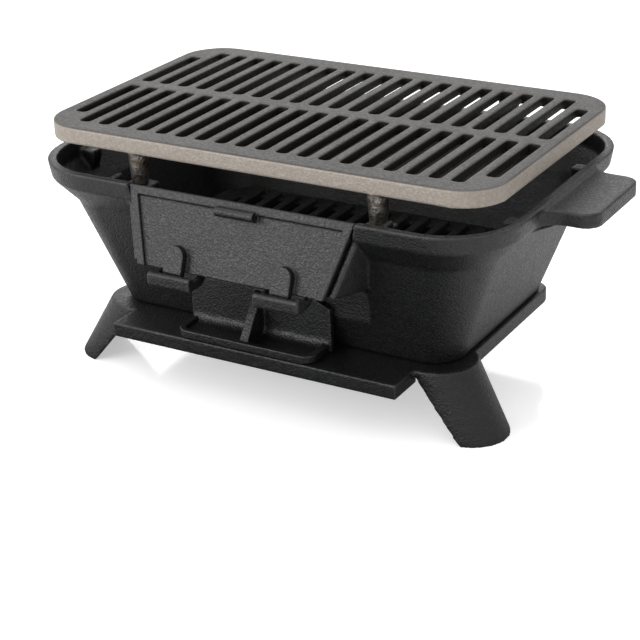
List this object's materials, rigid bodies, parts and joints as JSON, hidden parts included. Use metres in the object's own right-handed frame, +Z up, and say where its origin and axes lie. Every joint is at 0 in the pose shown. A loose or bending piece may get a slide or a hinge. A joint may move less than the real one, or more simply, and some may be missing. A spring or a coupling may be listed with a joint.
{
  "type": "hibachi grill",
  "caption": "Tabletop cast-iron charcoal grill: tapered fire bowl with end handles on a footed base, slotted cooking grate, charcoal grate, hinged fire door and sliding draft door.",
  "frame": {"origin": "on the ground, centred under the whole grill", "axes": "+X runs along the bowl to its right handle, -Y faces the doors, +Z is up"},
  "size_m": [0.5, 0.3122, 0.212],
  "materials": {
    "black_iron": "seasoned black, fine sand-cast grain, satin",
    "bare_iron": "bare grey iron, fine sand-cast grain, dull",
    "plated_steel": "zinc plated"
  },
  "bodies": {
    "grill": {"base": "black_iron", "fire_bowl": "black_iron", "base_bolts": "plated_steel", "base_washers": "plated_steel", "base_nuts": "plated_steel"},
    "fire_door": {"fire_door": "black_iron"},
    "draft_door": {"draft_door": "black_iron"},
    "cooking_grate": {"cooking_grate": "bare_iron"},
    "charcoal_grate": {"charcoal_grate": "black_iron"}
  },
  "joints": [
    {"name": "fire_door_hinge", "type": "hinge", "parent": "grill", "child": "fire_door", "pos_m": [0, -0.1514, 0.1215], "axis": [1, 0, 0], "range_deg": [0, 100]},
    {"name": "draft_door_slide", "type": "slide", "parent": "grill", "child": "draft_door", "axis": [1, 0, 0], "range_m": [-0.019, 0.031]},
    {"name": "cooking_grate_lift", "type": "slide", "parent": "grill", "child": "cooking_grate", "axis": [0, 0, 1], "range_m": [0, 0.06]},
    {"name": "charcoal_grate_lift", "type": "slide", "parent": "grill", "child": "charcoal_grate", "axis": [0, 0, 1], "range_m": [0, 0.07]}
  ]
}
